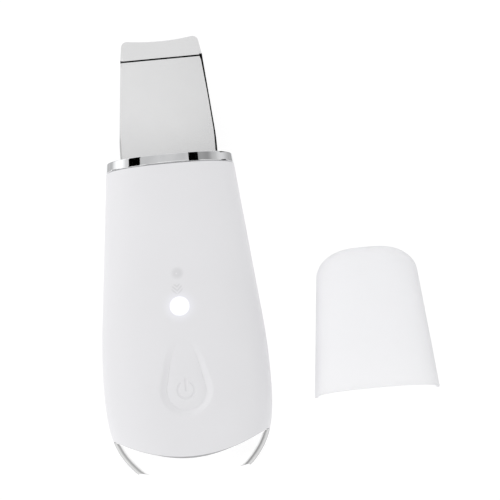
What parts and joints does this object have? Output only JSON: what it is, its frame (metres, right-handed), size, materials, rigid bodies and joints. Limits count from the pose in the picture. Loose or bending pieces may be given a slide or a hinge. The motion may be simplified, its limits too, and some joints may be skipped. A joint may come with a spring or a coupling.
{
  "type": "skin scrubber",
  "caption": "Handheld ultrasonic skin scrubber: white casing, chrome neck band, folded steel spatula blade, teardrop key, clear tail, and a frosted cap beside it.",
  "frame": {"origin": "on the flat of the back casing, on the centreline, below the widest part of the handle", "axes": "+Z out of the front (key side), +Y towards the blade tip, +X to the side on which the cap lies"},
  "size_m": [0.1072, 0.1459, 0.0218],
  "materials": {
    "casing": "soft-touch white",
    "chrome": "mirror bright",
    "blade_steel": "satin polished",
    "screw_steel": "plain",
    "socket_steel": "satin",
    "clear_plastic": "clear acrylic",
    "frosted_plastic": "frosted, slightly see-through white",
    "nylon": "natural",
    "silicone": "pale grey silicone",
    "piezo_ceramic": "fired, silvered",
    "board": "green solder mask",
    "lamp": "white lamp",
    "black_plastic": "moulded",
    "ferrite": "sintered",
    "foam": "closed-cell foam",
    "cell_foil": "foil pouch",
    "lead_red": "insulation",
    "lead_black": "insulation"
  },
  "bodies": {
    "handle": {"front_shell": "casing", "rear_shell": "casing", "shell_gasket_left": "silicone", "shell_gasket_right": "silicone", "chrome_collar": "chrome", "neck_carrier": "nylon", "blade_seal": "silicone", "spatula_blade": "blade_steel", "blade_clamp": "nylon", "clamp_screw_left": "screw_steel", "clamp_screw_right": "screw_steel", "piezo_disc": "piezo_ceramic", "piezo_lead_left": "lead_black", "piezo_lead_right": "lead_red", "main_board": "board", "board_screw_1": "screw_steel", "board_screw_2": "screw_steel", "board_screw_3": "screw_steel", "board_screw_4": "screw_steel", "mode_led_1": "lamp", "mode_led_2": "lamp", "mode_led_3": "lamp", "light_guide": "clear_plastic", "tact_switch": "black_plastic", "button_membrane": "silicone", "drive_transformer": "ferrite", "battery_tray": "nylon", "battery_pad": "foam", "battery_cell": "cell_foil", "battery_lead_black": "lead_black", "battery_lead_red": "lead_red", "clear_skirt": "clear_plastic", "tail_frame": "casing", "tail_screw_left": "screw_steel", "tail_screw_right": "screw_steel", "charge_socket": "socket_steel", "charge_board": "board"},
    "power_button": {"power_button": "casing", "switch_plunger": "black_plastic"},
    "cap": {"cap_shell": "frosted_plastic"}
  },
  "joints": [
    {"name": "button_press", "type": "slide", "parent": "handle", "child": "power_button", "axis": [0, 0, -1], "range_m": [0, 0.0006], "stiffness_N_per_m": 2000},
    {"name": "cap_slide", "type": "slide", "parent": "handle", "child": "cap", "axis": [0, 1, 0], "range_m": [0, 0.0824]}
  ]
}
